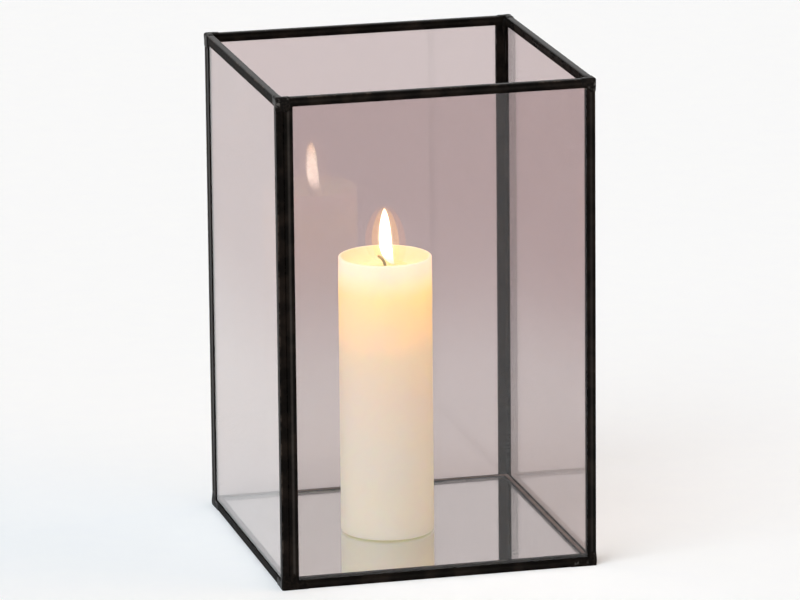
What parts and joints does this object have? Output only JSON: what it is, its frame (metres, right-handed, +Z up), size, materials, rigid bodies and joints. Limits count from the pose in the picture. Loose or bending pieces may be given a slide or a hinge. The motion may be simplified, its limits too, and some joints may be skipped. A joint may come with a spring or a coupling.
{
  "type": "candle lantern",
  "caption": "Square hurricane lantern: framed smoked glass walls soldered round a mirror base, open at the top, with a pillar candle that lifts out.",
  "frame": {"origin": "on the standing surface, under the middle of the square box", "axes": "+Z up; the front wall faces -Y and the right wall faces +X"},
  "size_m": [0.1712, 0.1712, 0.2634],
  "materials": {
    "smoked_glass": "smoked rose-grey, polished, with a faint mirror lustre",
    "black_channel": "satin black patina",
    "black_solder": "blackened solder, uneven gloss",
    "clear_glass": "polished",
    "mirror_silver": "silvered above, painted below",
    "ivory_wax": "satin ivory wax",
    "cotton_wick": "charred at the tip"
  },
  "bodies": {
    "lantern": {"back_bottom_channel": "black_channel", "back_left_bottom_solder": "black_solder", "back_left_channel": "black_channel", "back_left_seam_solder": "black_solder", "back_left_top_solder": "black_solder", "back_pane": "smoked_glass", "back_right_bottom_solder": "black_solder", "back_right_channel": "black_channel", "back_right_seam_solder": "black_solder", "back_right_top_solder": "black_solder", "back_top_channel": "black_channel", "base_back_channel": "black_channel", "base_front_channel": "black_channel", "base_left_channel": "black_channel", "base_right_channel": "black_channel", "base_solder_tacks": "black_solder", "front_bottom_channel": "black_channel", "front_left_bottom_solder": "black_solder", "front_left_channel": "black_channel", "front_left_seam_solder": "black_solder", "front_left_top_solder": "black_solder", "front_pane": "smoked_glass", "front_right_bottom_solder": "black_solder", "front_right_channel": "black_channel", "front_right_seam_solder": "black_solder", "front_right_top_solder": "black_solder", "front_top_channel": "black_channel", "left_back_channel": "black_channel", "left_bottom_channel": "black_channel", "left_front_channel": "black_channel", "left_pane": "smoked_glass", "left_top_channel": "black_channel", "mirror_backing": "mirror_silver", "mirror_glass": "clear_glass", "right_back_channel": "black_channel", "right_bottom_channel": "black_channel", "right_front_channel": "black_channel", "right_pane": "smoked_glass", "right_top_channel": "black_channel"},
    "candle": {"candle_wax": "ivory_wax", "candle_wick": "cotton_wick"}
  },
  "joints": [
    {"name": "candle_lift", "type": "slide", "parent": "lantern", "child": "candle", "axis": [0, 0, 1], "range_m": [0, 0.275]}
  ]
}
